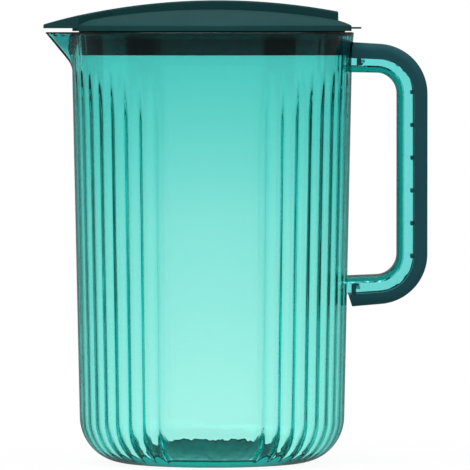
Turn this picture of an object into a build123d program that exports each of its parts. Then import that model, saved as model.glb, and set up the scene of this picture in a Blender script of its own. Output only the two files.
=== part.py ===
from build123d import *
from math import asin, cos, degrees, radians, sin, tan
import os

# Sizes in millimetres, angles in degrees. The jug's axis is Z, its foot stands on
# Z = 0, the handle points to +X and the spout to -X.

# Jug wall
rim_height = 215.0        # foot to rim
rim_radius = 71.0         # outside of the rim
wall_draft = 1.2          # the wall leans out by this much
flare_height = 18.0       # the top stretch that curves out to the rim
flare_out = 1.07          # the rim stands out from the top of the straight wall
wall = 3.0
rim_wall = 2.9
rim_round = 0.9
corner_radius = 23.0      # outside corner between wall and foot
floor_height = 5.0        # inside floor above the foot

# Flutes on the inside of the wall
flute_count = 17          # on each side
panel_half_angle = 25.0   # smooth panels face front and back
ridge_height = 1.3        # ridge between two flutes
fade_height = 25.0        # the ridges grow over this much below the flare
corner_steps = 5

# Spout
spout_throw = 12.5        # rim to tip
spout_half_angle = 50.0   # of the V, seen from above
spout_tip_radius = 4.0
spout_slope = 50.6        # front edge above the horizontal
spout_wall = 2.6
spout_root_round = 7.0

# Handle
handle_throw = 36.5       # rim to the outside of the cover
handle_drop = 5.0         # rim to the outer side of the top arm at the wall
handle_span = 131.8       # from there to the outer side of the bottom arm
handle_width = 23.0
handle_depth = 15.0       # grip, core and cover together
cover_depth = 6.75        # cover on the grip
cover_top_depth = 8.0     # cover on the top arm
cover_bottom_depth = 6.25
core_top_depth = 7.0      # clear core in the top arm
core_bottom_depth = 8.8
top_slope = 3.4           # the arms' outer sides lean towards each other
bottom_slope = 4.8
gap_top_slope = 1.0       # the arms' finger sides
gap_bottom_slope = 2.3
split_top_slope = 2.4
split_bottom_slope = 4.0
handle_corner = 25.0      # outside corners
split_corner = 18.0
gap_corner = 10.5         # corners of the finger gap
core_web = 2.75           # finger side of the core's channel
core_flange = 2.9
core_round = 1.6
cover_web = 2.4
cover_flange = 2.6
cover_round = 4.0
cover_gap = 0.4           # cover ends to jug wall
cover_end_slant = 2.0     # lower end leans away from the wall
cover_rib_count = 6
cover_rib = 1.8
tongue = 1.5              # the ribs reach this far into the core's channel
hook_offset = 2.2         # jug wall to hook
hook_width = 9.0
hook_thickness = 2.2
hook_barb = 1.4
catch_depth = 1.8
catch_thickness = 1.5
clip_clearance = 0.15

# Lid
lid_inset = 1.25          # the lid's edge stands back from the rim
lid_gap = 0.5             # rim to lid
lid_edge = 2.8            # height of the lid's edge
lid_edge_round = 0.8
dome_height = 10.8        # underside of the lid to the top of the dome
brow_width = 9.75         # the dome falls more steeply in this ring by the edge
brow_height = 6.0         # underside of the lid to the dome, inside that ring
lid_wall = 2.2
lid_flange = 7.75         # flat ring under the lid's edge

# Rib and beak on the lid
rib_top = 15.4            # above the underside of the lid
rib_top_centre = 3.0      # highest point of the rib along X
rib_top_radius = 322.0
rib_setback = 6.75        # lid's edge to the back end of the rib
rib_half_width = 7.0
rib_end_round = 5.0
beak_overhang = 0.75      # past the spout's tip
beak_half_angle = 48.0
beak_tip_radius = 4.0
beak_root = 3.25          # lid's edge back to where the beak is widest
beak_rise = 1.4           # underside of the tip above the lid's underside
beak_shoulder_radius = 4.0
beak_neck_length = 16.5   # from there to where it has narrowed to the rib
beak_neck_radius = 24.0
rib_wall = 2.2
rib_edge_round = 0.9
beak_web = 1.5            # solid stretch between the lid's edge and the beak's hollow
tab_throw = 4.75          # lid's edge to the end of the tab
tab_half_width = 11.0
tab_thickness = 0.9
tab_height = 1.15         # above the underside of the lid
tab_corner = 4.0

# Plug and seal
plug_clearance = 1.6      # to the mouth's wall at the rim
plug_depth = 11.9         # under the lid's underside
plug_wall = 2.8
plug_floor = 2.0
spigot_height = 3.0       # ring that snaps into the dome
spigot_wall = 2.0
spigot_clearance = 0.15
slot_count = 7
slot_width = 3.0
slot_pitch = 4.6          # degrees
slot_top = 5.2            # under the lid's underside
groove_top = 1.0          # under the lid's underside
groove_height = 3.0
groove_depth = 1.3
seal_clearance = 0.3
seal_play = 0.2
seal_round = 0.8

# Levels and radii that follow
wall_slope = tan(radians(wall_draft))
flare_start = rim_height - flare_height
fade_end = flare_start - fade_height
foot_radius = rim_radius - flare_out - flare_start * wall_slope
corner_centre = (
    foot_radius + corner_radius * wall_slope - corner_radius / cos(radians(wall_draft))
)
spout_reach = rim_radius + spout_throw
handle_reach = rim_radius + handle_throw
handle_top = rim_height - handle_drop
handle_bottom = handle_top - handle_span
channel_width = handle_width - 2 * core_flange
lid_bottom = rim_height + lid_gap
lid_radius = rim_radius - lid_inset
lid_inner_radius = lid_radius - lid_flange
brow_radius = lid_radius - brow_width
dome_drop = dome_height - brow_height
dome_radius = (brow_radius**2 + dome_drop**2) / (2 * dome_drop)
dome_centre = lid_bottom + dome_height - dome_radius
rib_centre = lid_bottom + rib_top - rib_top_radius
rib_back = lid_radius - rib_setback
beak_reach = spout_reach + beak_overhang
beak_shoulder = lid_radius - beak_root
beak_neck = beak_shoulder - beak_neck_length
tab_reach = lid_radius + tab_throw
plug_radius = rim_radius - rim_wall - plug_clearance


def wall_radius(height):
    """Outside radius of the straight wall at a height."""
    return foot_radius + height * wall_slope


def jug_profile(extra):
    """Half section of the jug's outside, grown by a clearance."""
    with BuildSketch(Plane.XZ) as profile:
        with BuildLine():
            foot = Line((0, -extra), (foot_radius + extra, -extra))
            straight = Line(foot @ 1, (wall_radius(flare_start) + extra, flare_start))
            flare = TangentArc(straight @ 1, (rim_radius + extra, rim_height), tangent=straight % 1)
            top = Line(flare @ 1, (0, rim_height))
            Line(top @ 1, foot @ 0)
        make_face()
        corner = profile.vertices().group_by(Axis.Y)[0].sort_by(Axis.X)[-1]
        fillet(corner, corner_radius + extra)
    return profile.sketch


def fluted_section(height, radius, ridge):
    """Level section of the cavity: flutes left and right, smooth panels front and back."""
    first = panel_half_angle - 90
    pitch = (180 - 2 * panel_half_angle) / flute_count

    def on_circle(angle, depth):
        return ((radius - depth) * cos(radians(angle)), (radius - depth) * sin(radians(angle)))

    with BuildSketch(Plane.XY.offset(height)) as section:
        with BuildLine():
            for side in (0, 180):
                for flute in range(flute_count):
                    start = side + first + flute * pitch
                    ThreePointArc(
                        on_circle(start, ridge),
                        on_circle(start + pitch / 2, 0),
                        on_circle(start + pitch, ridge),
                    )
                edge = side - first
                far_edge = side + 180 + first
                ThreePointArc(
                    on_circle(edge, ridge),
                    on_circle(edge + pitch / 4, ridge / 4),
                    on_circle(edge + pitch / 2, 0),
                )
                ThreePointArc(
                    on_circle(edge + pitch / 2, 0),
                    on_circle(side + 90, 0),
                    on_circle(far_edge - pitch / 2, 0),
                )
                ThreePointArc(
                    on_circle(far_edge - pitch / 2, 0),
                    on_circle(far_edge - pitch / 4, ridge / 4),
                    on_circle(far_edge, ridge),
                )
        make_face()
    return section.sketch


def corner_section(turn):
    """Section of the cavity where it has turned by an angle round the bottom corner."""
    inner = corner_radius - wall
    radius = corner_centre + inner * cos(radians(turn))
    height = corner_radius - inner * sin(radians(turn))
    return fluted_section(height, radius, ridge_height / cos(radians(turn)))


def spout_section(height, inset):
    """V of the spout, carried along its front edge to a height."""
    shift = (rim_height - height) / tan(radians(spout_slope))
    half = radians(spout_half_angle)
    apex = -spout_reach + shift - spout_tip_radius * (1 / sin(half) - 1)
    back = apex + spout_reach / 2
    with BuildSketch(Plane.XY.offset(height)) as section:
        with BuildLine():
            spread = (back - apex) * tan(half)
            Polyline((back, -spread), (apex, 0), (back, spread), close=True)
        make_face()
        fillet(section.vertices().sort_by(Axis.X)[0], spout_tip_radius)
        offset(amount=-inset)
    return section.sketch


def handle_outline(reach, top, top_lean, bottom, bottom_lean, corner):
    """Filled D of the handle: from the jug's axis out to reach, between two leaning arms."""
    root = wall_radius(handle_top)

    def arm(x, level, lean):
        return (x, level + (x - root) * tan(radians(lean)))

    with BuildSketch(Plane.XZ) as outline:
        with BuildLine():
            Polyline(
                arm(foot_radius / 2, top, -top_lean),
                arm(reach, top, -top_lean),
                arm(reach, bottom, bottom_lean),
                arm(foot_radius / 2, bottom, bottom_lean),
                close=True,
            )
        make_face()
        fillet(outline.vertices().sort_by(Axis.X)[-2:], corner)
    return outline.sketch


def gap_outline(grow):
    """The finger gap's D, grown by a wall."""
    return handle_outline(
        handle_reach - handle_depth + grow,
        handle_top - cover_top_depth - core_top_depth + grow,
        gap_top_slope,
        handle_bottom + cover_bottom_depth + core_bottom_depth - grow,
        gap_bottom_slope,
        gap_corner + grow,
    )


def split_outline():
    """The D where the clear core meets its cover."""
    return handle_outline(
        handle_reach - cover_depth,
        handle_top - cover_top_depth,
        split_top_slope,
        handle_bottom + cover_bottom_depth,
        split_bottom_slope,
        split_corner,
    )


def cover_outline(inset):
    """The outside D of the cover, shrunk by a wall."""
    return handle_outline(
        handle_reach - inset,
        handle_top - inset,
        top_slope,
        handle_bottom + inset,
        bottom_slope,
        handle_corner - inset,
    )


def handle_solid(outline, width):
    """A filled D across the handle."""
    with BuildPart() as solid:
        with BuildSketch(Plane.XZ):
            add(outline)
        extrude(amount=width / 2, both=True)
    return solid.part


def jug_solid(extra):
    """The jug's outside as one solid, grown by a clearance."""
    with BuildPart() as solid:
        with BuildSketch(Plane.XZ):
            add(jug_profile(extra))
        revolve(axis=Axis.Z)
    return solid.part


def at_side(edge):
    """Whether an edge of the handle lies on one of its two flat sides."""
    return abs(abs(edge.center().Y) - handle_width / 2) < 0.01


# Mouth, seen in half section
mouth_curve = TangentArc(
    (wall_radius(flare_start) - wall, flare_start),
    (rim_radius - rim_wall, rim_height),
    tangent=(wall_slope, 1),
)

# The cavity: smooth mouth, fading flutes, full flutes and the bottom corner
flute_top = fluted_section(flare_start, wall_radius(flare_start) - wall, 0)
flute_full = fluted_section(fade_end, wall_radius(fade_end) - wall, ridge_height)
last_turn = degrees(asin((corner_radius - floor_height) / (corner_radius - wall)))
turn_step = (last_turn - wall_draft) / corner_steps
corner_sections = [
    corner_section(wall_draft + step * turn_step).face() for step in range(corner_steps + 1)
]

with BuildPart() as cavity:
    with BuildSketch(Plane.XZ):
        with BuildLine():
            add(mouth_curve)
            mouth_top = Line(mouth_curve @ 1, (0, rim_height))
            mouth_axis = Line(mouth_top @ 1, (0, flare_start))
            Line(mouth_axis @ 1, mouth_curve @ 0)
        make_face()
    revolve(axis=Axis.Z)
    loft([flute_full.face(), flute_top.face()], ruled=True)
    loft([corner_sections[0], flute_full.face()], ruled=True)
    loft(corner_sections[::-1])

# Spout: a leaning V, solid outside and its channel
spout_root = flare_start - wall
spout_outside = loft(
    [spout_section(spout_root, 0).face(), spout_section(rim_height, 0).face()],
    ruled=True,
)
spout_channel = loft(
    [
        spout_section(spout_root, spout_wall).face(),
        spout_section(rim_height + wall, spout_wall).face(),
    ],
    ruled=True,
)

# Clear core of the handle: a channel open to the outside, with a catch bar for each hook
with BuildPart() as handle_core:
    add(handle_solid(split_outline(), handle_width))
    add(handle_solid(gap_outline(0), handle_width), mode=Mode.SUBTRACT)
    gap_reach = handle_reach - handle_depth
    gap_top = handle_top - cover_top_depth - core_top_depth
    finger_edges = (
        handle_core.edges()
        .filter_by(at_side)
        .filter_by(lambda edge: foot_radius / 2 + 1 < edge.center().X < gap_reach + 0.1)
        .filter_by(lambda edge: edge.center().Z < gap_top + 0.1)
        .filter_by(lambda edge: edge.center().Z > handle_bottom + cover_bottom_depth + core_web + 2)
    )
    fillet(finger_edges, core_round)

channel = handle_solid(split_outline(), channel_width) - handle_solid(
    gap_outline(core_web), handle_width
)
channel -= jug_solid(cover_gap)

hooks = []
catches = []
for arm_split, web_face, way in (
    (handle_top - cover_top_depth, gap_top + core_web, -1),
    (
        handle_bottom + cover_bottom_depth,
        handle_bottom + cover_bottom_depth + core_bottom_depth - core_web,
        1,
    ),
):
    near = wall_radius(arm_split) + hook_offset
    far = near + hook_thickness
    tip = web_face - way * cover_gap
    root = arm_split - way * cover_bottom_depth / 2
    shoulder = tip - way * hook_barb
    with BuildPart() as hook:
        with BuildSketch(Plane.XZ):
            with BuildLine():
                Polyline(
                    (near, root),
                    (near, tip),
                    (far, tip),
                    (far + hook_barb, shoulder),
                    (far, shoulder - way * clip_clearance),
                    (far, root),
                    close=True,
                )
            make_face()
        extrude(amount=hook_width / 2, both=True)
    hooks.append(hook.part)
    with BuildPart() as catch:
        with BuildSketch(Plane.XZ):
            bar_near = far + clip_clearance
            bar_low = shoulder - way * 2 * clip_clearance
            bar_high = bar_low - way * catch_thickness
            with BuildLine():
                Polyline(
                    (bar_near, bar_low),
                    (bar_near + catch_depth, bar_low),
                    (bar_near + catch_depth, bar_high),
                    (bar_near, bar_high),
                    close=True,
                )
            make_face()
        extrude(amount=channel_width / 2 + core_flange / 2, both=True)
    catches.append(catch.part)

# Jug body
with BuildPart() as jug_body:
    add(jug_solid(0))
    add(spout_outside)
    root_edges = (
        jug_body.edges()
        .filter_by(lambda edge: edge.center().X < -rim_radius / 2)
        .filter_by(lambda edge: spout_root < edge.center().Z < rim_height - 1)
        .filter_by(lambda edge: abs(edge.center().Y) > spout_tip_radius)
    )
    fillet(root_edges, spout_root_round)
    add(handle_core.part)
    add(channel, mode=Mode.SUBTRACT)
    add(catches)
    add(spout_channel, mode=Mode.SUBTRACT)
    add(cavity.part, mode=Mode.SUBTRACT)
    fillet(jug_body.edges().group_by(Axis.Z)[-1], rim_round)
jug_body.part.label = "jug_body"

# Handle cover: a shell open to the core, with cross ribs that key into the channel
grip_bottom = handle_bottom + handle_corner
grip_top = handle_top - handle_corner
rib_pitch = (grip_top - grip_bottom) / (cover_rib_count - 1)
hollow = handle_solid(cover_outline(cover_web), handle_width - 2 * cover_flange)
hollow -= jug_solid(cover_gap + cover_web)

with BuildPart() as handle_cover:
    add(handle_solid(cover_outline(0), handle_width))
    outer_edges = (
        handle_cover.edges().filter_by(at_side).filter_by(lambda edge: edge.center().X > foot_radius / 2 + 1)
    )
    fillet(outer_edges, cover_round)
    add(hollow, mode=Mode.SUBTRACT)
    add(handle_solid(split_outline(), 2 * handle_width), mode=Mode.SUBTRACT)
    add(jug_solid(cover_gap), mode=Mode.SUBTRACT)
    with BuildSketch(Plane.XZ):
        with BuildLine():
            end_top = handle_bottom + cover_bottom_depth
            end_x = wall_radius(end_top) + cover_gap
            Polyline(
                (end_x, end_top),
                (end_x + cover_end_slant, handle_bottom),
                (end_x + cover_end_slant, handle_bottom - cover_web),
                (end_x - cover_web, handle_bottom - cover_web),
                (end_x - cover_web, end_top),
                close=True,
            )
        make_face()
    extrude(amount=handle_width, both=True, mode=Mode.SUBTRACT)
    for number in range(cover_rib_count):
        with BuildSketch(Plane.XZ):
            rib_level = grip_bottom + number * rib_pitch
            inside = handle_reach - cover_depth - tongue
            outside = handle_reach - cover_web / 2
            with Locations(((inside + outside) / 2, rib_level)):
                Rectangle(outside - inside, cover_rib)
        extrude(amount=channel_width / 2 - clip_clearance, both=True)
    add(hooks)
handle_cover.part.label = "handle_cover"


def rib_plan(inset):
    """Plan of the rib: a V beak over the spout that narrows to a bar across the dome."""
    half = radians(beak_half_angle)
    apex = -beak_reach - beak_tip_radius * (1 / sin(half) - 1)
    shoulder = (-beak_shoulder - apex) * tan(half)
    with BuildSketch(Plane.XY.offset(lid_bottom)) as plan:
        with BuildLine():
            Polyline(
                (apex, 0),
                (-beak_shoulder, -shoulder),
                (-beak_neck, -rib_half_width),
                (rib_back, -rib_half_width),
                (rib_back, rib_half_width),
                (-beak_neck, rib_half_width),
                (-beak_shoulder, shoulder),
                close=True,
            )
        make_face()
        corners = plan.vertices().group_by(Axis.X)
        fillet(corners[0], beak_tip_radius)
        fillet(corners[1], beak_shoulder_radius)
        fillet(corners[2], beak_neck_radius)
        fillet(corners[3], rib_end_round)
        offset(amount=-inset)
    return plan.sketch


def under_arc(plan, inset, front, back, low):
    """The part of a plan that lies under the rib's arc, above a level."""
    with BuildPart() as solid:
        with BuildSketch(Plane.XY.offset(low)):
            add(plan)
        extrude(amount=2 * rib_top)
        with BuildSketch(Plane.XZ):
            with Locations((rib_top_centre, rib_centre)):
                Circle(rib_top_radius - inset)
        extrude(amount=rim_radius, both=True, mode=Mode.INTERSECT)
        with BuildSketch(Plane.XZ):
            with Locations(((front + back) / 2, low)):
                Rectangle(back - front, 4 * rib_top)
        extrude(amount=rim_radius, both=True, mode=Mode.INTERSECT)
    return solid.part


# Lid shell: dome, rib, beak and thumb tab, hollow underneath
beak_bottom = lid_bottom + beak_rise
with BuildPart() as lid_shell:
    with BuildSketch(Plane.XZ) as dome:
        with BuildLine():
            base = Line((0, lid_bottom), (lid_radius, lid_bottom))
            edge = Line(base @ 1, (lid_radius, lid_bottom + lid_edge))
            brow_angle = asin(brow_radius / dome_radius)
            brow = (brow_radius, dome_centre + dome_radius * cos(brow_angle))
            crown = ThreePointArc(
                (0, dome_centre + dome_radius),
                (
                    dome_radius * sin(brow_angle / 2),
                    dome_centre + dome_radius * cos(brow_angle / 2),
                ),
                brow,
            )
            TangentArc(brow, edge @ 1, tangent=crown % 1)
            Line(base @ 0, crown @ 0)
        make_face()
        fillet(dome.vertices().sort_by(Axis.X)[-2:].sort_by(Axis.Y)[-1], lid_edge_round)
    revolve(axis=Axis.Z)
    add(under_arc(rib_plan(0), 0, -beak_reach, rib_back, beak_bottom))
    with BuildSketch(Plane.XZ) as dome_hollow:
        with Locations((0, dome_centre)):
            Circle(dome_radius - lid_wall)
        with Locations((0, lid_bottom)):
            Rectangle(
                lid_inner_radius,
                2 * dome_height,
                align=(Align.MIN, Align.CENTER),
                mode=Mode.INTERSECT,
            )
    revolve(axis=Axis.Z, mode=Mode.SUBTRACT)
    hollow_plan = rib_plan(rib_wall)
    add(
        under_arc(hollow_plan, rib_wall, -lid_inner_radius + lid_wall, rib_back, lid_bottom),
        mode=Mode.SUBTRACT,
    )
    add(
        under_arc(hollow_plan, rib_wall, -beak_reach, -lid_radius - beak_web, lid_bottom),
        mode=Mode.SUBTRACT,
    )
    with BuildSketch(Plane.XY.offset(lid_bottom + tab_height)) as tab:
        with Locations(((lid_inner_radius + tab_reach) / 2, 0)):
            Rectangle(tab_reach - lid_inner_radius, 2 * tab_half_width)
        fillet(tab.vertices().sort_by(Axis.X)[-2:], tab_corner)
    extrude(amount=tab_thickness)
    rib_crown = lid_shell.faces().filter_by(GeomType.CYLINDER).sort_by(Axis.Z)[-1]
    fillet(rib_crown.edges(), rib_edge_round)
lid_shell.part.label = "lid_shell"

# Lid plug: a cup turned down into the mouth, with a spigot up into the dome
groove_low = lid_bottom - groove_top - groove_height
with BuildPart() as lid_plug:
    with BuildSketch(Plane.XZ):
        with BuildLine():
            Polyline(
                (0, lid_bottom - plug_floor),
                (plug_radius - plug_wall, lid_bottom - plug_floor),
                (plug_radius - plug_wall, lid_bottom - plug_depth),
                (plug_radius, lid_bottom - plug_depth),
                (plug_radius, groove_low),
                (plug_radius - groove_depth, groove_low),
                (plug_radius - groove_depth, groove_low + groove_height),
                (plug_radius, groove_low + groove_height),
                (plug_radius, lid_bottom),
                (lid_inner_radius - spigot_clearance, lid_bottom),
                (lid_inner_radius - spigot_clearance, lid_bottom + spigot_height),
                (lid_inner_radius - spigot_clearance - spigot_wall, lid_bottom + spigot_height),
                (lid_inner_radius - spigot_clearance - spigot_wall, lid_bottom),
                (0, lid_bottom),
                close=True,
            )
        make_face()
    revolve(axis=Axis.Z)
    slot_span = slot_pitch * (slot_count - 1)
    with BuildSketch(Plane.XY.offset(lid_bottom - plug_depth)):
        with PolarLocations(
            plug_radius - plug_wall / 2,
            slot_count,
            start_angle=180 - slot_span / 2,
            angular_range=slot_span,
            endpoint=True,
        ):
            Rectangle(2 * plug_wall, slot_width)
    extrude(amount=plug_depth - slot_top, mode=Mode.SUBTRACT)
lid_plug.part.label = "lid_plug"

# Lid seal: a ring in the plug's groove that reaches out to the mouth
seal_low = groove_low + seal_play
seal_high = groove_low + groove_height - seal_play
seal_inside = plug_radius - groove_depth + seal_clearance
seal_outside = (mouth_curve @ ((seal_low - flare_start) / flare_height)).X - seal_clearance
with BuildPart() as lid_seal:
    with BuildSketch(Plane.XZ) as ring:
        with Locations(((seal_inside + seal_outside) / 2, (seal_low + seal_high) / 2)):
            Rectangle(seal_outside - seal_inside, seal_high - seal_low)
        fillet(ring.vertices().sort_by(Axis.X)[-2:], seal_round)
    revolve(axis=Axis.Z)
lid_seal.part.label = "lid_seal"

os.makedirs("parts", exist_ok=True)
export_step(jug_body.part, "parts/jug_body.step")
export_step(handle_cover.part, "parts/handle_cover.step")
export_step(lid_shell.part, "parts/lid_shell.step")
export_step(lid_plug.part, "parts/lid_plug.step")
export_step(lid_seal.part, "parts/lid_seal.step")
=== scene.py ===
"""Looks for the teal jug with its dark green lid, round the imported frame. Sizes are in millimetres."""

from math import cos, pi, radians, sin, tan

import bpy
import numpy as np
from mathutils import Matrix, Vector


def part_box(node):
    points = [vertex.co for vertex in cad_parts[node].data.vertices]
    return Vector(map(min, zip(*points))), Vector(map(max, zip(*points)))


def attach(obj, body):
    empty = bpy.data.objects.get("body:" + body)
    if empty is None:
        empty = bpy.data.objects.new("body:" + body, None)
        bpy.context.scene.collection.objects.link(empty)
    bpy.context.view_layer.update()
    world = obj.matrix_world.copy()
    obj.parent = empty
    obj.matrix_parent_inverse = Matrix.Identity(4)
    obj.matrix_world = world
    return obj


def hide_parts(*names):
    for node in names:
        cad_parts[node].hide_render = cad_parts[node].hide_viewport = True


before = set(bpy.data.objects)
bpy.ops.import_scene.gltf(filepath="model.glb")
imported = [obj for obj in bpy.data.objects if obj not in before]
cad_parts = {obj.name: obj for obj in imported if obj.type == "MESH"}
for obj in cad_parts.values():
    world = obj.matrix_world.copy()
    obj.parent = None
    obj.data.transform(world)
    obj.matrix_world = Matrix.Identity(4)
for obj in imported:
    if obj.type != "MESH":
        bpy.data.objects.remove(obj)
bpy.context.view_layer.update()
MM = 0.001

# Sizes of the jug, the same as the solids'. The rim is read from the frame.
jug_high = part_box("jug_body")[1]
rim_height = jug_high.z / MM
rim_radius = jug_high.y / MM
rim_wall = 2.9
rim_round = 0.9
rim_edge = rim_height - rim_round
wall = 3.0
wall_lean = 1.2
wall_slope = tan(radians(wall_lean))
flare_start = rim_height - 18.0
flare_out = 1.07
foot_radius = rim_radius - flare_out - flare_start * wall_slope
corner_radius = 23.0
corner_centre = foot_radius + corner_radius * wall_slope - corner_radius / cos(radians(wall_lean))
floor_height = 5.0

# The flutes inside the wall, on the spout's side and the handle's, with a plain panel at the front
# and at the back. They fade in below the mouth.
flute_count = 17
panel_half_angle = 25.0
flute_pitch = (180 - 2 * panel_half_angle) / flute_count
ridge_height = 1.3
ridge_crest = 0.8
fade_height = 25.0
scallop_rise = 2.0

# The spout is a V in plan, with this half angle, that leans out to its reach at the rim
spout_reach = rim_radius + 12.5
spout_half = radians(50.0)
spout_slope = tan(radians(50.6))
spout_wall = 2.6
spout_tip = 0.024
spout_blend = 2.5

# Sizes of the handle. The core is its clear inner half, and the split is where the cover begins.
handle_reach = rim_radius + 36.5
handle_top = rim_height - 5.0
handle_bottom = handle_top - 131.8
handle_width = 23.0
handle_depth = 15.0
cover_depth = 6.75
split_top = handle_top - 8.0
split_bottom = handle_bottom + 6.25
split_top_lean = 2.4
split_bottom_lean = 4.0
split_corner = 18.0
gap_top = split_top - 7.0
gap_bottom = split_bottom + 8.8
gap_top_lean = 1.0
gap_bottom_lean = 2.3
gap_corner = 10.5
core_web = 2.75
core_flange = 2.9
core_round = 1.6
channel_half = handle_width / 2 - core_flange
channel_bevel = 0.8
root_top_depth = 1.2
root_bottom_depth = 1.6

# Sizes of the clip at both ends of the handle. A clear bar catches each of the cover's hooks.
cover_gap = 0.4
hook_offset = 2.2
hook_thickness = 2.2
hook_barb = 1.4
catch_depth = 1.8
catch_thickness = 1.5
clip_clearance = 0.15
bar_gap = 0.05

# Where the rows of the jug's mesh lie, and how many rows and columns there are. Each step of the
# crease is how far it lies in from the corner, and how much of the corner's height is left there.
middle_radius = 0.5
foot_radii = (middle_radius, 12, 24, 34, 40, corner_centre - 0.6)
corner_count = 22
straight_low = 28
straight_high = 184
straight_count = 27
mouth_low = 186
mouth_count = 30
rim_turns = (20, 45, 70, 90)
fade_low = 172
fade_count = 10
full_flute_high = 166
full_flute_count = 24
inner_corner_count = 16
crease_steps = ((0.25, 0.85), (1.2, 0.45), (2.6, 0.15), (4.5, 0.0))
floor_shares = (0.9, 0.7, 0.45, 0.2)
flute_columns = 12
panel_columns = 48
floor_material = 1
crease_shade_material = 2

# How many points there are along the handle's arms, corners and grip, and round its edge
arm_points = 8
turn_points = 14
grip_points = 12
edge_points = 6


# Helpers for meshes

def mesh_object(name, points, faces):
    """A smooth mesh object from points in millimetres."""
    mesh = bpy.data.meshes.new(name)
    mesh.from_pydata([tuple(p * MM for p in point) for point in points], [], faces)
    mesh.update()
    mesh.shade_smooth()
    made = bpy.data.objects.new(name, mesh)
    bpy.context.scene.collection.objects.link(made)
    return made


def ring_faces(rings, count):
    """Four-sided faces between closed rings of points, one ring after the other."""
    faces = []
    for start in range(0, (rings - 1) * count, count):
        above = start + count
        for place in range(count):
            after = (place + 1) % count
            faces.append((start + place, start + after, above + after, above + place))
    return faces


# Jug wall, inside and outside, as one closed grid round the axis

def wall_radius(height):
    """Outside radius of the straight wall."""
    return foot_radius + height * wall_slope


def flare(start, end, height):
    """Radius on the curve from the straight wall to the rim, tangent to the wall below."""
    full_rise = rim_height - flare_start
    rise = height - flare_start
    share = rise / full_rise
    return start + rise * wall_slope + (end - start - full_rise * wall_slope) * share**2


def outer_circle(height):
    """Outside radius of the round wall, without the spout."""
    if height > flare_start:
        return flare(wall_radius(flare_start), rim_radius, height)
    return wall_radius(height)


def inner_circle(height):
    """Inside radius of the round wall, without the spout and the flutes."""
    if height > flare_start:
        return flare(wall_radius(flare_start) - wall, rim_radius - rim_wall, height)
    return wall_radius(height) - wall


def spout_radius(height, from_spout, inset):
    """Distance from the axis to the V of the spout, in directions measured from its middle."""
    shift = (rim_height - height) / spout_slope
    rounded = np.sqrt(np.sin(from_spout) ** 2 + spout_tip**2)
    reach = (spout_reach - shift) * (sin(spout_half) + spout_tip * cos(spout_half)) - inset
    away = np.cos(from_spout) * sin(spout_half) + rounded * cos(spout_half)
    # Away from the spout the divisor only has to stay above zero, as the last line drops the result
    radius = reach / np.maximum(away, 0.05)
    return np.where(from_spout < pi / 2 - spout_half, radius, 0.0)


def smooth_max(first, second, blend):
    """The larger of two radii, with the crease between them rounded."""
    near = np.maximum(blend - np.abs(first - second), 0) / blend
    return np.maximum(first, second) + near**2 * blend / 4


def with_spout(circle, height, from_spout, inset):
    """The round wall's radius, or the spout's where that reaches further."""
    return smooth_max(circle, spout_radius(height, from_spout, inset), spout_blend)


def column_angles():
    """Directions round the axis, with a column on every ridge between two flutes."""
    angles = []
    for side in (0, 180):
        start = side + panel_half_angle - 90
        columns = flute_count * flute_columns
        angles += [start + flute_pitch * k / flute_columns for k in range(columns)]
        edge = side - panel_half_angle + 90
        angles += [edge + 2 * panel_half_angle * k / panel_columns for k in range(panel_columns)]
    return np.radians(np.array(angles))


def from_side(angles):
    """Angle from the middle of the fluted side that is nearer, the spout's or the handle's."""
    return np.abs((angles + pi / 2) % pi - pi / 2)


def ridge_curve(share):
    """A parabola from the middle of a flute to its ridge, with the ridge's crest rounded."""
    beyond_crest = np.maximum(share - ridge_crest, 0)
    return (share**2 - beyond_crest**2 / (1 - ridge_crest)) / ridge_crest


def ridge_share(angles):
    """How far the inside stands in from the plain wall: 1 on a ridge, 0 in a valley or panel."""
    pitch = radians(flute_pitch)
    reach = radians(90 - panel_half_angle)
    side = from_side(angles)
    place = (side + reach) / pitch
    tiny = 1e-9
    flutes = ridge_curve(np.abs(2 * (place - np.floor(place + tiny)) - 1))
    beyond = ridge_curve(np.clip(1 - (side - reach) / (pitch / 2), 0, 1))
    return np.where(side > reach, beyond, flutes)


def foot_rows():
    """The flat foot and the rounded corner outside."""
    rows = [(radius, 0) for radius in foot_radii]
    for turn in np.linspace(-90, -wall_lean, corner_count):
        radius = corner_centre + corner_radius * cos(radians(turn))
        rows.append((radius, corner_radius + corner_radius * sin(radians(turn))))
    return rows


def outside_rows(from_spout):
    """The outside of the wall, from the corner up to the rim."""
    straight = np.linspace(straight_low, straight_high, straight_count)
    mouth = np.linspace(mouth_low, rim_edge, mouth_count)
    rows = []
    for height in (*straight, *mouth):
        rows.append((with_spout(outer_circle(height), height, from_spout, 0), height))
    return rows


def rim_rows(from_spout):
    """The rounded lip of the mouth, from the outside over to the inside."""
    outside = with_spout(rim_radius, rim_height, from_spout, 0)
    inside = with_spout(rim_radius - rim_wall, rim_height, from_spout, spout_wall)
    rows = []
    for edge, way, turns in ((outside, -1, rim_turns), (inside, 1, rim_turns[::-1])):
        for turn in turns:
            lift = rim_round * sin(radians(turn))
            back = rim_round * (1 - cos(radians(turn)))
            rows.append((edge + way * back, rim_edge + lift))
    return rows


def inside_rows(from_spout, ridges):
    """The inside of the wall: plain at the mouth, then with the flutes growing out of it."""
    mouth = np.linspace(rim_edge, mouth_low, mouth_count)
    fade = np.linspace(straight_high, fade_low, fade_count)
    rows = []
    for height in (*mouth, *fade):
        share = np.clip((flare_start - height) / fade_height, 0, 1)
        circle = inner_circle(height) - ridge_height * share * ridges
        rows.append((with_spout(circle, height, from_spout, spout_wall), height))
    for height in np.linspace(full_flute_high, straight_low, full_flute_count):
        rows.append((inner_circle(height) - ridge_height * ridges, height))
    return rows


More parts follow.
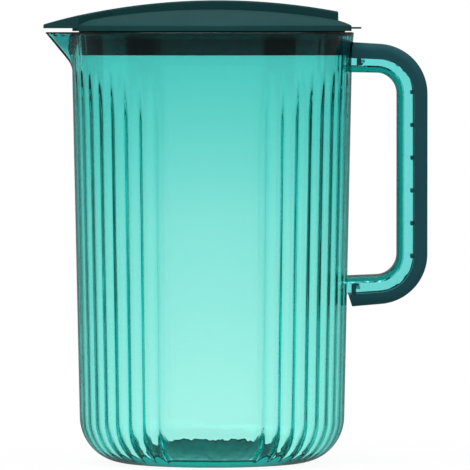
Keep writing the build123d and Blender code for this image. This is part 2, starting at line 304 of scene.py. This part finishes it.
def inner_corner(angles, ridges):
    """The rounded corner inside, which ends in a scalloped line just above the floor."""
    radius = corner_radius - wall
    on_flutes = from_side(angles) < radians(90 - panel_half_angle)
    lift = scallop_rise * (1 - ridges) * on_flutes
    start = radians(wall_lean)
    end = np.arcsin((corner_radius - floor_height - lift) / radius)
    rows = []
    for share in np.linspace(0, 1, inner_corner_count):
        turn = start + (end - start) * share
        inset = ridge_height / np.cos(turn) * ridges
        height = corner_radius - radius * np.sin(turn)
        rows.append((corner_centre + radius * np.cos(turn) - inset, height))
    return rows


def floor_rows(edge, height):
    """The floor, with a soft crease at its edge, in from the last row of the corner."""
    rows = []
    for inset, left in crease_steps:
        rows.append((edge - inset, floor_height + (height - floor_height) * left))
    flat_edge = rows[-1][0]
    rows += [(flat_edge * share, floor_height) for share in floor_shares]
    rows.append((middle_radius, floor_height))
    return rows


def jug_wall():
    """The wall, foot and floor of the jug. The floor has its own material, and the row just above it a
    near-black one, painted shade in the crease at the floor's edge.
    """
    angles = column_angles()
    from_spout = np.abs(angles % (2 * pi) - pi)
    ridges = ridge_share(angles)
    rows = foot_rows() + outside_rows(from_spout) + rim_rows(from_spout)
    rows += inside_rows(from_spout, ridges) + inner_corner(angles, ridges)
    floor_start = len(rows) - 1
    rows += floor_rows(*rows[-1])
    points = []
    for radius, height in rows:
        ring = np.broadcast_arrays(radius * np.cos(angles), radius * np.sin(angles), height)
        points += list(zip(*ring))
    count = len(angles)
    foot_middle = len(points)
    floor_middle = foot_middle + 1
    points += [(0, 0, 0), (0, 0, floor_height)]
    faces = ring_faces(len(rows), count)
    last = (len(rows) - 1) * count
    for column in range(count):
        after = (column + 1) % count
        faces.append((foot_middle, after, column))
        faces.append((floor_middle, last + column, last + after))
    made = mesh_object("jug_wall", points, faces)
    for index, face in enumerate(made.data.polygons):
        # The row above the floor gets the near-black painted shade of the crease
        if index // count == floor_start - 1:
            face.material_index = crease_shade_material
        if index >= floor_start * count and foot_middle not in face.vertices:
            face.material_index = floor_material
    return made


# Clear core of the handle: a channel swept round the D

def arm_point(x, level, lean):
    """Point of an arm at x. The level is the arm's height at the wall, where the top arm starts."""
    return np.array([x, level + (x - wall_radius(handle_top)) * tan(radians(lean))])


def arm_end(reach, level, lean, corner, way):
    """Where an arm runs into its corner, and that corner's centre. The way is 1 on top, -1 below."""
    back = corner * tan(radians(90 - lean) / 2)
    slope = radians(lean)
    end = arm_point(reach, level, -way * lean) + back * np.array([-cos(slope), way * sin(slope)])
    return end, end + corner * np.array([-sin(slope), -way * cos(slope)])


def turn_path(centre, corner, start, end):
    """Points of an arc from one direction to another, in degrees."""
    turns = np.linspace(radians(start), radians(end), turn_points)
    return [centre + corner * np.array([cos(turn), sin(turn)]) for turn in turns]


def d_path(reach, top, top_lean, bottom, bottom_lean, corner):
    """Points of a D from the top arm's root round to the bottom arm's root, in X and Z."""
    top_root = wall_radius(handle_top) - root_top_depth
    bottom_root = wall_radius(handle_bottom) - root_bottom_depth
    top_end, top_centre = arm_end(reach, top, top_lean, corner, 1)
    bottom_end, bottom_centre = arm_end(reach, bottom, bottom_lean, corner, -1)
    top_arm = np.linspace(top_root, top_end[0], arm_points)
    grip = np.linspace(top_centre[1], bottom_centre[1], grip_points)[1:-1]
    bottom_arm = np.linspace(bottom_end[0], bottom_root, arm_points)[1:]
    path = [arm_point(x, top, -top_lean) for x in top_arm]
    path += turn_path(top_centre, corner, 90 - top_lean, 0)[1:]
    path += [np.array([reach, z]) for z in grip]
    path += turn_path(bottom_centre, corner, 0, bottom_lean - 90)
    path += [arm_point(x, bottom, bottom_lean) for x in bottom_arm]
    return np.array(path)


def core_section():
    """Points round the channel's section, as half-width and depth. None reaches out to the split."""
    half = handle_width / 2
    section = []
    for turn in np.linspace(90, 0, edge_points):
        y = half - core_round * (1 - cos(radians(turn)))
        section.append((y, core_round * (1 - sin(radians(turn)))))
    section += [(half, None), (channel_half, None)]
    section += [(channel_half, core_web + channel_bevel), (channel_half - channel_bevel, core_web)]
    return section + [(-y, depth) for y, depth in reversed(section)]


def add_catch_bar(points, faces, split, web_face, way):
    """A clear bar across the channel behind a hook's barb. The way is that of the hook's tip."""
    low = web_face - way * (cover_gap + hook_barb + 2 * clip_clearance)
    high = low - way * catch_thickness
    near = wall_radius(split) + hook_offset + hook_thickness + clip_clearance
    far = near + catch_depth
    half = channel_half - bar_gap
    start = len(points)
    for z in sorted((low, high)):
        points += [(near, -half, z), (far, -half, z), (far, half, z), (near, half, z)]
    sides = [(0, 3, 2, 1), (4, 5, 6, 7), (0, 1, 5, 4), (1, 2, 6, 5), (2, 3, 7, 6), (3, 0, 4, 7)]
    for side in sides:
        faces.append(tuple(start + corner for corner in side))


def handle_core():
    """The clear half of the handle, with its two catch bars."""
    gap_reach = handle_reach - handle_depth
    split_reach = handle_reach - cover_depth
    inner = d_path(gap_reach, gap_top, gap_top_lean, gap_bottom, gap_bottom_lean, gap_corner)
    outer = d_path(
        split_reach, split_top, split_top_lean, split_bottom, split_bottom_lean, split_corner
    )
    section = core_section()
    points = []
    for near, far in zip(inner, outer):
        way = far - near
        thickness = np.linalg.norm(way)
        way /= thickness
        for y, depth in section:
            at = near + way * (thickness if depth is None else depth)
            points.append((at[0], y, at[1]))
    count = len(section)
    faces = ring_faces(len(inner), count)
    faces.append(tuple(range(count))[::-1])
    faces.append(tuple(range(len(points) - count, len(points))))
    add_catch_bar(points, faces, split_top, gap_top + core_web, -1)
    add_catch_bar(points, faces, split_bottom, gap_bottom - core_web, 1)
    made = mesh_object("handle_core", points, faces)
    made.data.set_sharp_from_angle(angle=radians(35))
    return made


# Materials. Each tint of the wall or core is a height and a colour. The wall's tints are painted shade,
# darker towards the rim under the lid, and painted light, pale towards the foot. Each grazing tint is a
# share of the way from facing the eye to seen edge-on, and a colour: painted shade that darkens the
# clear plastic towards its outline.

clear_ior = 1.46
# Painted shade and light: the wall darkens towards the rim, where the lid shades it, and pales to near
# white towards the foot, lit by the floor
wall_painted_light_and_shade = (
    (20, (0.98, 0.998, 0.95)),
    (120, (0.77, 0.92, 0.88)),
    (203, (0.41, 0.785, 0.755)),
    (209, (0.2, 0.56, 0.56)),
)
wall_depth_color = (0.0, 0.933, 0.913)
wall_density = 150.0
core_tints = ((80, (0.95, 1.0, 1.0)), (200, (0.9, 1.0, 1.0)))
core_depth_color = (0.0, 0.8, 0.783)
core_density = 300.0
# Painted shade: the clear plastic's colour goes dark towards its outline, where it is seen edge-on
grazing_painted_shade = (
    (0.6, (1.0, 1.0, 1.0)),
    (0.82, (0.12, 0.5, 0.5)),
    (1.0, (0.03, 0.07, 0.07)),
)
flow_stretch = 0.03
flow_scale = 260
flow_height = 0.16
satin_ior = 1.48
satin_specular = 0.06
grain_scale = 1400
grain_strength = 0.12
grain_height = 0.08
cloud_scale = 35
cloud_change = 0.1
roughness_change = 0.15


def new_material(name):
    """A new node material, with its nodes and links."""
    material = bpy.data.materials.new(name)
    material.use_nodes = True
    return material, material.node_tree.nodes, material.node_tree.links


def color_ramp(nodes, stops):
    """A colour ramp with a position and a colour for each stop."""
    ramp = nodes.new("ShaderNodeValToRGB")
    elements = ramp.color_ramp.elements
    for position, color in stops[1:-1]:
        elements.new(position)
    for stop, (position, color) in zip(elements, stops):
        stop.position = position
        stop.color = (*color, 1)
    return ramp


def add_noise(nodes, links, vector, scale, detail):
    """Output of a noise texture over the given vector."""
    noise = nodes.new("ShaderNodeTexNoise")
    noise.inputs["Scale"].default_value = scale
    noise.inputs["Detail"].default_value = detail
    links.new(vector, noise.inputs["Vector"])
    return noise.outputs["Fac"]


def add_bump(nodes, links, noise, strength, height, shader):
    """Fine relief in the surface."""
    bump = nodes.new("ShaderNodeBump")
    bump.inputs["Strength"].default_value = strength
    bump.inputs["Distance"].default_value = height * MM
    links.new(noise, bump.inputs["Height"])
    links.new(bump.outputs["Normal"], shader.inputs["Normal"])


def tint_by_height(nodes, links, place, tints):
    """The colour at each height from the given tints, which on the wall paint shade near the rim and
    light near the foot.
    """
    split = nodes.new("ShaderNodeSeparateXYZ")
    links.new(place, split.inputs[0])
    height = nodes.new("ShaderNodeMapRange")
    height.inputs["From Max"].default_value = rim_height * MM
    links.new(split.outputs["Z"], height.inputs["Value"])
    ramp = color_ramp(nodes, [(level / rim_height, color) for level, color in tints])
    links.new(height.outputs["Result"], ramp.inputs["Fac"])
    return ramp.outputs["Color"]


def clear_plastic(name, tints, transmission, roughness, depth_color, density):
    """Teal clear plastic, tinted in its depth, coloured by height from the given tints, and darkened at
    grazing angles by painted shade.
    """
    material, nodes, links = new_material(name)
    shader = nodes["Principled BSDF"]
    shader.inputs["Transmission Weight"].default_value = transmission
    shader.inputs["Roughness"].default_value = roughness
    shader.inputs["IOR"].default_value = clear_ior
    place = nodes.new("ShaderNodeTexCoord").outputs["Object"]
    # Painted shade: the colour darkens as the surface turns edge-on to the eye
    facing = nodes.new("ShaderNodeLayerWeight").outputs["Facing"]
    edge = color_ramp(nodes, grazing_painted_shade)
    links.new(facing, edge.inputs["Fac"])
    tint = nodes.new("ShaderNodeMix")
    tint.data_type = "RGBA"
    tint.blend_type = "MULTIPLY"
    tint.inputs["Factor"].default_value = 1.0
    links.new(tint_by_height(nodes, links, place, tints), tint.inputs["A"])
    links.new(edge.outputs["Color"], tint.inputs["B"])
    links.new(tint.outputs["Result"], shader.inputs["Base Color"])
    stretch = nodes.new("ShaderNodeMapping")
    stretch.inputs["Scale"].default_value = (1.0, 1.0, flow_stretch)
    links.new(place, stretch.inputs["Vector"])
    flow = add_noise(nodes, links, stretch.outputs["Vector"], flow_scale, 1)
    add_bump(nodes, links, flow, 1.0, flow_height, shader)
    volume = nodes.new("ShaderNodeVolumeAbsorption")
    volume.inputs["Color"].default_value = (*depth_color, 1)
    volume.inputs["Density"].default_value = density
    links.new(volume.outputs["Volume"], nodes["Material Output"].inputs["Volume"])
    return material


def deep_teal(name, color):
    """Opaque clear plastic where no light passes and nothing shines: for the inner floor, too deep to
    see through, and, near-black, as painted shade in the crease at the floor's edge.
    """
    tints = ((4, color), (20, color))
    material = clear_plastic(name, tints, 0.0, 0.5, wall_depth_color, wall_density)
    shader = material.node_tree.nodes["Principled BSDF"]
    shader.inputs["Specular IOR Level"].default_value = 0.0
    return material


def satin_plastic(name, color, roughness):
    """Dark moulded plastic with a fine grain."""
    material, nodes, links = new_material(name)
    shader = nodes["Principled BSDF"]
    shader.inputs["IOR"].default_value = satin_ior
    shader.inputs["Specular IOR Level"].default_value = satin_specular
    place = nodes.new("ShaderNodeTexCoord").outputs["Object"]
    grain = add_noise(nodes, links, place, grain_scale, 2)
    cloud = add_noise(nodes, links, place, cloud_scale, 2)
    tint = nodes.new("ShaderNodeMix")
    tint.data_type = "RGBA"
    tint.inputs["A"].default_value = (*[c * (1 - cloud_change) for c in color], 1)
    tint.inputs["B"].default_value = (*[c * (1 + cloud_change) for c in color], 1)
    links.new(cloud, tint.inputs["Factor"])
    links.new(tint.outputs["Result"], shader.inputs["Base Color"])
    rough = nodes.new("ShaderNodeMapRange")
    rough.inputs["To Min"].default_value = roughness * (1 - roughness_change)
    rough.inputs["To Max"].default_value = roughness * (1 + roughness_change)
    links.new(grain, rough.inputs["Value"])
    links.new(rough.outputs["Result"], shader.inputs["Roughness"])
    add_bump(nodes, links, grain, grain_strength, grain_height, shader)
    return material


def dress_node(name, material):
    """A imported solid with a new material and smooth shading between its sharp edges."""
    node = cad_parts[name]
    node.data.materials.clear()
    node.data.materials.append(material)
    node.data.shade_smooth()
    node.data.set_sharp_from_angle(angle=radians(30))


# The pieces with their materials

clear = clear_plastic("clear_teal_plastic", wall_painted_light_and_shade, 1.0, 0.02, wall_depth_color, wall_density)
clear_floor = deep_teal("clear_teal_floor", (0.0, 0.85, 0.83))
# Painted shade: a near-black ring on the row above the inner floor, where the crease at the floor's edge
# looks dark
crease_painted_shade = deep_teal("clear_teal_crease_painted_shade", (0.0, 0.1, 0.1))
clear_core = clear_plastic("clear_teal_core", core_tints, 1.0, 0.03, core_depth_color, core_density)
handle_green = satin_plastic("handle_green", (0.022, 0.105, 0.125), 0.45)
lid_green = satin_plastic("lid_green", (0.018, 0.085, 0.088), 0.5)
# Painted shade: the plug is the lid's plastic, given a near-black copy of the lid's colour for the shade
# it sits in inside the mouth
plug_painted_shade = satin_plastic("plug_painted_shade", (0.001, 0.010, 0.013), 0.5)
seal_grey = satin_plastic("seal_silicone", (0.02, 0.06, 0.06), 0.6)

body = jug_wall()
for material in (clear, clear_floor, crease_painted_shade):
    body.data.materials.append(material)
core = handle_core()
core.data.materials.append(clear_core)
for piece in (body, core):
    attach(piece, "jug")
    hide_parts("jug_body")

dress_node("handle_cover", handle_green)
dress_node("lid_shell", lid_green)
dress_node("lid_plug", plug_painted_shade)
dress_node("lid_seal", seal_grey)


# Studio: pale floor, white surroundings for the eye and through plastic, dim in gloss, plain light
# for the rest. The dark cards' direction, half width and blur are in degrees.

plain_level = 0.3
glossy_level = 0.15
card_turn = 60.0
card_half = 12.0
card_blur = 6.0
card_dark = 0.1
floor_radius = 1200
floor_sides = 64
floor_drop = 0.2
floor_grey = 0.5
floor_glow = 1.08
floor_glow_share = 0.87
lamp_distance = 2000
eye_distance = 3200
view_height = 235
view_middle = (11.5, 0, 113.6)
sensor = 36


def math_node(nodes, links, operation, *values):
    """Output of a Math node whose inputs are numbers or other nodes' outputs."""
    node = nodes.new("ShaderNodeMath")
    node.operation = operation
    for socket, value in zip(node.inputs, values):
        if isinstance(value, float):
            socket.default_value = value
        else:
            links.new(value, socket)
    return node.outputs[0]


def card_level(nodes, links, way):
    """Level of the backdrop by direction: white, with four dark cards that draw the jug's edges."""
    split = nodes.new("ShaderNodeSeparateXYZ")
    links.new(way, split.inputs[0])
    across = math_node(nodes, links, "ABSOLUTE", split.outputs["X"])
    ahead = math_node(nodes, links, "ABSOLUTE", split.outputs["Y"])
    turn = math_node(nodes, links, "ARCTAN2", across, ahead)
    offset = math_node(nodes, links, "SUBTRACT", turn, radians(card_turn))
    level = nodes.new("ShaderNodeMapRange")
    level.inputs["From Min"].default_value = radians(card_half)
    level.inputs["From Max"].default_value = radians(card_half + card_blur)
    level.inputs["To Min"].default_value = card_dark
    links.new(math_node(nodes, links, "ABSOLUTE", offset), level.inputs["Value"])
    return level.outputs["Result"]


def ray_level(nodes, links, rays, way, glossy):
    """Backdrop strength for a ray: 1 to the eye, the cards' level through plastic, dim in gloss."""
    cards = card_level(nodes, links, way)
    through = math_node(nodes, links, "MULTIPLY", rays["Is Transmission Ray"], cards)
    gloss = math_node(nodes, links, "MULTIPLY", rays["Is Glossy Ray"], glossy)
    both = math_node(nodes, links, "MAXIMUM", through, gloss)
    return math_node(nodes, links, "MAXIMUM", both, rays["Is Camera Ray"])


def make_world():
    """White surroundings, at a plain level where they light matt surfaces."""
    world = bpy.data.worlds.new("studio")
    world.use_nodes = True
    bpy.context.scene.world = world
    nodes, links = world.node_tree.nodes, world.node_tree.links
    rays = nodes.new("ShaderNodeLightPath").outputs
    way = nodes.new("ShaderNodeTexCoord").outputs["Generated"]
    level = ray_level(nodes, links, rays, way, glossy_level)
    plain = math_node(nodes, links, "MULTIPLY_ADD", rays["Is Diffuse Ray"], plain_level, level)
    sky = nodes["Background"]
    sky.inputs["Color"].default_value = (1, 1, 1, 1)
    links.new(plain, sky.inputs["Strength"])


def mix_shaders(nodes, links, share, first, second):
    """Output of a mix of two shaders' outputs."""
    mix = nodes.new("ShaderNodeMixShader")
    for socket, value in zip(mix.inputs, (share, first, second)):
        links.new(value, socket)
    return mix.outputs[0]


def floor_white():
    """Pale matt floor that glows white to the eye and through plastic, and is dim in gloss."""
    material, nodes, links = new_material("floor_white")
    matt = nodes["Principled BSDF"]
    matt.inputs["Base Color"].default_value = (floor_grey, floor_grey, floor_grey, 1)
    matt.inputs["Roughness"].default_value = 0.9
    matt.inputs["Specular IOR Level"].default_value = 0.0
    glow = nodes.new("ShaderNodeEmission")
    glow.inputs["Strength"].default_value = floor_glow
    dim = nodes.new("ShaderNodeEmission")
    dim.inputs["Strength"].default_value = glossy_level
    rays = nodes.new("ShaderNodeLightPath").outputs
    way = nodes.new("ShaderNodeTexCoord").outputs["Object"]
    level = ray_level(nodes, links, rays, way, 0.0)
    share = math_node(nodes, links, "MULTIPLY", level, floor_glow_share)
    mirrored = math_node(
        nodes, links, "SUBTRACT", rays["Is Glossy Ray"], rays["Is Transmission Ray"]
    )
    mirrored.node.use_clamp = True
    seen = mix_shaders(nodes, links, share, matt.outputs[0], glow.outputs[0])
    every = mix_shaders(nodes, links, mirrored, seen, dim.outputs[0])
    links.new(every, nodes["Material Output"].inputs[0])
    return material


def make_floor():
    """A wide disc just under the foot."""
    turns = [2 * pi * k / floor_sides for k in range(floor_sides)]
    radius = floor_radius * MM
    points = [(radius * cos(turn), radius * sin(turn), 0) for turn in turns]
    mesh = bpy.data.meshes.new("floor")
    mesh.from_pydata(points, [], [tuple(range(floor_sides))])
    mesh.materials.append(floor_white())
    floor = bpy.data.objects.new("floor", mesh)
    bpy.context.scene.collection.objects.link(floor)
    floor.location.z = -floor_drop * MM


def soft_sun(name, from_way, spread, strength):
    """A broad, even studio light from one direction, as strong far away as near the jug."""
    data = bpy.data.lights.new(name, "SUN")
    data.angle = radians(spread)
    data.energy = strength
    lamp = bpy.data.objects.new(name, data)
    bpy.context.scene.collection.objects.link(lamp)
    lamp.location = Vector(from_way) * (lamp_distance * MM)
    lamp.rotation_euler = Vector(from_way).to_track_quat("Z", "Y").to_euler()


def make_camera():
    """The camera stands at the height of the rim, square to the side of the jug."""
    aim = Vector([size * MM for size in view_middle])
    place = Vector((aim.x, -eye_distance * MM, rim_height * MM))
    data = bpy.data.cameras.new("camera")
    data.sensor_width = sensor
    data.lens = sensor * (aim - place).length / (view_height * MM)
    camera = bpy.data.objects.new("camera", data)
    bpy.context.scene.collection.objects.link(camera)
    camera.location = place
    camera.rotation_euler = (aim - place).to_track_quat("-Z", "Y").to_euler()
    bpy.context.scene.camera = camera


make_world()
make_floor()
soft_sun("key", (-0.35, -0.35, 1.0), spread=50, strength=1.2)
soft_sun("fill", (0.5, -0.5, 0.9), spread=60, strength=0.6)
soft_sun("top", (0.1, 0.3, 1.0), spread=60, strength=0.6)
make_camera()
bpy.context.scene.view_settings.view_transform = "Standard"
